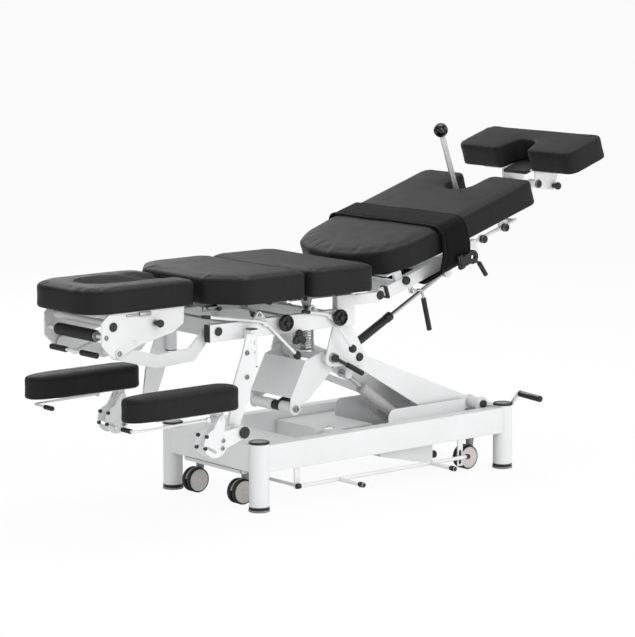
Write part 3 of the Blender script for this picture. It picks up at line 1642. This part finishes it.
@dataclass
class HeadSection:
    """Roller, handle, knob, caps and bolts of the head section."""

    plate_y: float = 171
    roller_at: Point2 = (-1122, 184)
    roller_half: float = 112
    handle: tuple[Point2, Point2] = ((-1006, 158), (-1135, 121))
    bar_half: float = 135
    knob_at: Point2 = (-921, 217)
    cap_at: Point2 = (-1094, 218)
    bolt_at: Point2 = (-1072, 126)
    catches: Sequence[tuple[Point3, Point3, float]] = (
        ((-1040, 170, 247), (-986, 175, 254), 1.0),
        ((-988, 168, 245), (-941, 178, 258), 1.6),
    )

    def build(self) -> None:
        """Builds the head section's small pieces."""
        self.roller()
        self.handle_bar()
        self.knob()
        self.covers()

    def roller(self) -> None:
        """Builds the foam roller: a slightly barrelled sleeve between two end discs."""
        x, z = self.roller_at
        half = self.roller_half
        length = 2 * half
        work = Workpiece(DECK)
        profile: list[Point2] = [(0, 8), (0, 15), (1.5, 18.6), (4, 20.4)]
        profile += [(u, 20.9 + 0.25 * math.sin(u * 0.7)) for u in range(8, length - 7, 4)]
        profile += [(length - 4, 20.4), (length - 1.5, 18.6), (length, 15), (length, 8)]
        work.turned((x, -half, z), (x, half, z), profile, 36)
        work.done("roller_foam_sleeve", "foam_roller", FOAM, "foam_roller")
        work = Workpiece(DECK)
        for way in SIDES:
            face = half + 0.3
            work.turned((x, way * face, z), (x, way * (face + 6), z), [
                (0, 6), (0, 16.5), (3, 17.5), (5, 16.5), (6, 12), (6, 6.3),
            ], 28)
            work.bolt(x, z, way * self.plate_y, way, 6.5)
        work.done("roller_end_discs", "head_section", ZINC)

    def handle_bar(self) -> None:
        """Builds the head handle: a shaft, a stem, a cross bar and two ribbed grips."""
        (x, z), (x1, z1) = self.handle
        face, half = self.plate_y, self.bar_half
        work = Workpiece(DECK)
        work.turned((x, -face, z), (x, face, z), [(0, 6), (0.8, 7), (2 * face - 1, 7), (2 * face, 6)], 20)
        stem, tip = DECK.span((x, 0, z), (x1, 0, z1))
        work.swept([stem, (stem + tip) / 2, tip], 6.2, 16)
        work.swept([(x1, -half, z1), tip, (x1, half, z1)], 6.0, 16)
        work.turned((x1, -9, z1), (x1, half, z1), [(0, 7), (1, 9), (17, 9), (18, 7)], 20)
        work.done("head_handle_bar", "head_handle", WHITE, "head_handle")
        work = Workpiece(DECK)
        for way in SIDES:
            work.ribbed((x1, way * 43, z1), (x1, way * half, z1), 10.2, 93, 10)
        work.done("head_handle_grips", "head_handle", GRIP)

    def knob(self) -> None:
        """Builds the head section's small clamping knob on its stud and collar."""
        x, z = self.knob_at
        work = Workpiece(DECK)
        work.turned((x, -182, z), (x, -183, z), [
            (0, 7), (1, 9), (9, 8.6), (11, 10.5), (13, 13), (20, 14), (24, 12.6), (26, 8.5), (26.6, 0),
        ], 28)
        work.done("head_knob_grip", "head_knob", BLACK, "head_knob")
        work = Workpiece(DECK)
        work.turned((x, 0.4 - self.plate_y, z), (x, -self.plate_y, z), [
            (0, 9), (0.6, 11), (4.5, 11), (5, 10.2), (5.2, 5), (12.5, 5),
        ], 28)
        work.done("head_knob_stud", "head_knob", ZINC)

    def covers(self) -> None:
        """Builds the cover caps, bolts and catches on the head plates."""
        caps, bolts = Workpiece(DECK), Workpiece(DECK)
        for way in SIDES:
            caps.cap(*self.cap_at, way * (self.plate_y - 0.4), 15.6, 5.4)
            bolts.bolt(*self.bolt_at, way * self.plate_y, way, 9)
            for (x0, y0, z0), (x1, y1, z1), edge in self.catches:
                bolts.block((x0, way * y0, z0), (x1, way * y1, z1), edge)
        caps.done("head_plate_caps", "head_section", BLACK)
        bolts.done("head_plate_catches", "head_section", ZINC)


@dataclass
class Armrests:
    """Boards, brackets' bolts, levers and grips of the two armrests."""

    spread: float = 286
    board: tuple[Point3, Point3] = ((-1030, -42, -89), (-700, 42, -85.2))
    ear_pin: Point2 = (-747, -116)
    ear_r: float = 12
    ear_ys: Point2 = (-19, 15)
    lever_from: Point2 = (-815, -108)
    lever_z: float = -112
    lever_y: float = 37
    reach: Mapping[int, Point2] = field(default_factory=lambda: {NEAR: (-1122, 30), FAR: (-1088, 84)})
    bolts: Sequence[Point2] = ((-742, -190), (-745, -216))
    stops: Sequence[Point2] = ((-812, -168), (-818, -208))

    def build(self) -> None:
        """Builds both armrests."""
        for side, way in (("near", NEAR), ("far", FAR)):
            place = DECK.moved(0, way * self.spread, 0)
            self.pad_board(side, place)
            self.lever(side, way, place)
            self.bracket(side, place)

    def pad_board(self, side: str, place: Place) -> None:
        """Builds the steel board under a pad, its lugs and its pin.

        Args:
            side: near or far.
            place: The armrest's middle plane.
        """
        low, high = self.board
        x, z = self.ear_pin
        r = self.ear_r
        work = Workpiece(place)
        work.block(low, high, 1.2)
        for y in self.ear_ys:
            ear = [(x - r, low[2] + 2), (x - r, z), *arc_points(x, z, r, range(200, 341, 20))]
            work.plate(ear + [(x + r, z), (x + r, low[2] + 2)], y, y + 4, 0.6)
        work.turned((x, -28, z), (x, 28, z), [(0, 5), (0.8, 6), (55, 6), (56, 5)], 20)
        work.done(f"armrest_board_{side}", f"arm_pad_{side}", WHITE)

    def lever(self, side: str, way: int, place: Place) -> None:
        """Builds an armrest's release lever and its grip.

        Args:
            side: near or far.
            way: The side of the table.
            place: The armrest's middle plane.
        """
        (x, z0), z, y = self.lever_from, self.lever_z, way * self.lever_y
        reach, across = self.reach[way]
        corners = [(x, y, z0), (reach + 24, y, z), (reach, y * 0.8, z), (reach, -way * across, z)]
        body = f"arm_lever_{side}"
        work = Workpiece(place)
        work.swept(bent([place.at(*p) for p in corners], 0.016), 4.1)
        work.turned((x, y - way * 12, z0), (x, y, z0), [
            (0, 4), (7, 4), (7.2, 8.4), (8.2, 9), (16.5, 9), (17.5, 8),
        ], 24)
        work.done(f"armrest_lever_bar_{side}", body, WHITE, body)
        work = Workpiece(place)
        work.ribbed((reach, -way * (across - 48), z), (reach, -way * across, z), 8.4, 50, 6)
        work.done(f"armrest_lever_grip_{side}", body, GRIP)

    def bracket(self, side: str, place: Place) -> None:
        """Builds the bolts and black stops of an armrest's bracket.

        Args:
            side: near or far.
            place: The armrest's middle plane.
        """
        work = Workpiece(place)
        for at in self.bolts:
            for face in SIDES:
                work.bolt(*at, face * 26, face, 6)
        work.done(f"armrest_bracket_bolts_{side}", f"arm_bracket_{side}", ZINC)
        work = Workpiece(place)
        for x, z in self.stops:
            for face in SIDES:
                work.turned((x, face * 20, z), (x, face * 40, z), [
                    (0, 6), (0.8, 6.6), (8, 6.6), (9.4, 5.2), (9.8, 0),
                ], 20)
        work.done(f"armrest_stops_{side}", f"arm_bracket_{side}", BLACK)


@dataclass
class LegSection:
    """Ball lever, release handle, strut collar, knobs and caps of the leg and foot sections."""

    lever: Place = LEG.moved(636, 0, -14, 2)
    lever_half: float = 11.5
    lever_length: float = 382
    handle: Sequence[Point2] = ((150, -46), (186, -54), (186, -86), (180, -204))
    handle_y: float = -211
    strut: tuple[Vector, Vector] = (DECK.at(-264, -20, -165), LEG.at(464, -20, -124))
    strut_mouth: float = 572
    side_bar: Point2 = (193, 2)
    side_knobs: tuple[float, ...] = (132, 534, 650)
    slide_pivot: Point3 = (958, 91.6, 48)
    foot_knob: Point3 = (72, -92.6, -36)
    foot_board: tuple[Point3, Point3] = ((-22, -62, 45), (84, 62, 58.4))
    rail_end: tuple[Point3, Point3] = ((34, 172, -29), (44, 204, 17))

    def build(self) -> None:
        """Builds the leg and foot sections' small pieces."""
        self.ball_lever()
        self.release_handle()
        self.strut_collar()
        self.side_bar_knobs()
        self.foot_pieces()
        self.rail_ends()

    def ball_lever(self) -> None:
        """Builds the flat-bar lever with its black ball."""
        w, end = self.lever_half, self.lever_length
        bar = [(-w, 0), (-w, end), (w, end), (w, 0)]
        bar += [
            (w * math.cos(math.radians(a)), -2 + (w + 2) * math.sin(math.radians(a)))
            for a in range(-10, -171, -20)
        ]
        work = Workpiece(self.lever)
        work.plate(bar, -3, 3, 0.9)
        work.turned((0, 0, end - 4), (0, 0, end), [(0, 8), (1, 10.5), (9, 10.5), (10, 7)], 24)
        work.done("ball_lever_bar", "ball_lever", FLAT_BAR, "ball_lever")
        work = Workpiece(self.lever)
        work.ball(self.lever.at(0, 0, end + 18), 27)
        work.done("ball_lever_ball", "ball_lever", GLOSSY_BLACK)

    def release_handle(self) -> None:
        """Builds the bent release handle and its grip."""
        y = self.handle_y
        points = [LEG.at(x, y, z) for x, z in self.handle]
        x, z = self.handle[0]
        work = Workpiece(LEG)
        work.swept(bent(points, 0.018), 5.1)
        work.turned((x, y - 7, z), (x, y, z), [(0, 6), (1, 8.8), (2, 9), (13, 9), (13.2, 5), (23, 5)], 24)
        work.done("release_handle_bar", "release_handle", STEEL, "release_handle")
        work = Workpiece(LEG)
        work.ribbed(points[2].lerp(points[3], 0.02), points[3], 9.5, 126, 12)
        work.done("release_handle_grip", "release_handle", GRIP)

    def strut_collar(self) -> None:
        """Builds the collar at the mouth of the strut's tube."""
        foot, head = self.strut
        mouth = foot + (head - foot).normalized() * self.strut_mouth * MM
        work = Workpiece()
        work.turned(mouth, head, [(0, 16.2), (1.5, 17.2), (26, 17.2), (29, 14), (29.6, 9)], 28)
        work.done("strut_collars", "strut_tube", BLACK)

    def side_bar_knobs(self) -> None:
        """Builds the knobs on the long side bars."""
        y, z = self.side_bar
        work = Workpiece(LEG)
        for way in SIDES:
            for u in self.side_knobs:
                work.turned((u, way * y, z), (u, way * (y + 1), z), [
                    (0, 9), (2, 13.6), (5, 15.4), (17, 15.4), (20, 13.6), (21, 10), (20.4, 0),
                ], 28)
        work.done("side_bar_knobs", "leg_section", BLACK)

    def foot_pieces(self) -> None:
        """Builds the foot slide's caps, the foot knob and the foot cushion's board."""
        x, y, z = self.slide_pivot
        work = Workpiece(LEG)
        for way in SIDES:
            work.cap(x, z, way * y, 16.6, 5.6)
        work.done("foot_slide_caps", "foot_slide", BLACK)
        x, y, z = self.foot_knob
        work = Workpiece(FOOT)
        work.turned((x, y, z), (x, y - 1, z), [
            (0, 8), (1, 9), (13, 8), (16, 11), (19, 14), (26, 15), (31, 13), (33, 8), (33.4, 0),
        ], 28)
        work.done("foot_knob_grip", "foot_knob", BLACK, "foot_knob")
        work = Workpiece(FOOT)
        work.block(*self.foot_board, 3)
        work.done("foot_board", "foot_section", RUBBER_BLACK)

    def rail_ends(self) -> None:
        """Builds the black ends of the leg rails."""
        (x0, y0, z0), (x1, y1, z1) = self.rail_end
        work = Workpiece(LEG)
        for way in SIDES:
            work.block((x0, way * y0, z0), (x1, way * y1, z1), 2.0)
        work.done("side_rail_ends", "leg_section", BLACK)


class NodeFinish(Enum):
    """The finish of each CAD node that is shown as it is."""

    PAINTED = (WHITE, (
        "base_frame", "base_tray", "castor_bar_head", "castor_bar_foot", "castor_pedal",
        "foot_switch_bar", "lift_arm", "levelling_link", "deck_frame", "pedestal", "strut_housing",
        "armrest_hangers", "head_yoke", "head_frame", "arm_bracket_near", "arm_bracket_far",
        "leg_frame", "foot_slide", "foot_bracket",
    ))
    PLASTIC = (BLACK, ("base_caps", "deck_caps", "strut_tube", "lock_lever"))
    ACTUATOR = (ACTUATOR_GREY, ("lift_actuator",))
    CASTOR = (HOUSING_GREY, ("castor_fork_1", "castor_fork_2", "castor_fork_3", "castor_fork_4"))
    BOARD = (MECHANISM, ("thoracic_plate", "lumbar_plate"))
    PLATED = (STEEL, ("actuator_rod", "drop_spring", "strut_rod"))


@dataclass
class Frame:
    """The CAD nodes that carry everything."""

    nodes: dict[str, bpy.types.Object]

    def dress(self) -> None:
        """Gives each shown CAD node its finish."""
        for group in NodeFinish:
            finish, names = group.value
            for name in names:
                node = self.nodes[name]
                node.data.materials.clear()
                node.data.materials.append(finish.material())
                LOG.info("node %s in %s", name, finish.name)


# Studio


@dataclass(frozen=True)
class Lamp:
    """A square soft lamp: where it stands and aims, its side in metres and its watts."""

    name: str
    place: Point3
    aim: Point3
    size: float
    power: float

    def build(self) -> None:
        """Builds the lamp."""
        data = bpy.data.lights.new(self.name, "AREA")
        data.shape = "SQUARE"
        data.size = self.size
        data.energy = self.power
        made = bpy.data.objects.new(self.name, data)
        bpy.context.scene.collection.objects.link(made)
        made.location = self.place
        way = Vector(self.aim) - Vector(self.place)
        made.rotation_euler = way.to_track_quat("-Z", "Y").to_euler()


@dataclass(frozen=True)
class Studio:
    """Pale floor, soft light and the camera of the photograph."""

    eye: tuple[float, float, float] = (-6.19521962, -7.38997751, 2.06135809)
    yaw: float = 39.868
    pitch: float = -8.6138
    focal_px: float = 2687.12
    picture_px: float = 637
    floor_rings: tuple[float, ...] = (1.5, 4, 12, 40, 160)
    lamps: tuple[Lamp, ...] = (
        Lamp("key_softbox", (-1.6, -4.7, 3.2), (0.2, 0.0, 0.4), 3.4, 106),
        Lamp("top_softbox", (0.6, 0.4, 5.0), (0.2, 0.0, 0.6), 3.6, 125),
        Lamp("foot_softbox", (4.6, -2.4, 2.6), (0.3, 0.0, 0.6), 2.6, 46),
        Lamp("back_softbox", (1.2, 4.6, 3.0), (0.2, 0.0, 0.6), 3.0, 66),
        Lamp("head_fill", (-4.8, -0.2, 1.4), (0.0, 0.0, 0.4), 2.0, 26),
        Lamp("low_fill", (1.0, -4.6, 0.7), (0.2, 0.0, 0.2), 1.8, 30),
    )

    def build(self) -> None:
        """Builds the camera, the floor, the world and the lamps."""
        self.camera()
        self.floor()
        self.world()
        for lamp in self.lamps:
            lamp.build()

    def camera(self) -> None:
        """Builds the camera that stands where the photograph's stood."""
        data = bpy.data.cameras.new("photo_camera")
        data.sensor_width = 36.0
        data.lens = self.focal_px * data.sensor_width / self.picture_px
        data.clip_end = 400
        made = bpy.data.objects.new("photo_camera", data)
        bpy.context.scene.collection.objects.link(made)
        made.location = self.eye
        made.rotation_euler = (math.radians(90 + self.pitch), 0, -math.radians(self.yaw))
        bpy.context.scene.camera = made

    def floor(self) -> None:
        """Builds a wide pale floor that keeps the table's soft shadow."""
        work = Workpiece()
        middle, along, across = Vector(), Vector((1, 0, 0)), Vector((0, 1, 0))
        rings = [work.ring(middle, along, across, r / MM, 48) for r in self.floor_rings]
        work.bm.faces.new(rings[0])
        for a, b in zip(rings, rings[1:]):
            work.bridge(a, b)
        made = work.bare("floor")
        bpy.context.scene.collection.objects.link(made)
        s = Shader("pale_floor")
        dust = s.noise(6, 3.0, 0.6)
        colour = s.mixed(dust, grey(0.93), grey(0.95))
        lit = s.node("ShaderNodeBsdfDiffuse", {}, {"Color": colour})
        glow = s.node("ShaderNodeEmission", {}, {"Color": (1, 1, 1, 1), "Strength": 1.0})
        path = s.node("ShaderNodeLightPath")
        seen = Value(s, path.outputs["Is Camera Ray"]) * 0.93
        mix = s.node("ShaderNodeMixShader", {}, {0: seen, 1: lit.outputs[0], 2: glow.outputs[0]})
        made.data.materials.append(s.ended(mix))

    def world(self) -> None:
        """Builds a plain pale surround."""
        s = Shader("pale_surround", world=True)
        path = s.node("ShaderNodeLightPath")
        strength = Value(s, path.outputs["Is Camera Ray"]) * 0.58 + 0.42
        back = s.node("ShaderNodeBackground", {}, {"Color": (1, 1, 1, 1), "Strength": strength})
        bpy.context.scene.world = s.ended(back)


def main() -> None:
    """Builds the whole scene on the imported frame."""
    logging.basicConfig(level=logging.INFO, format="%(message)s")
    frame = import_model()
    bpy.context.scene.view_settings.view_transform = "Standard"
    Studio().build()
    Frame(frame["nodes"]).dress()
    Upholstery().build()
    LegStrap().build()
    for part in (Castors(), BaseTrim(), LiftGear(), HeadSection(), Armrests(), LegSection()):
        part.build()


if __name__ == "__main__":
    main()
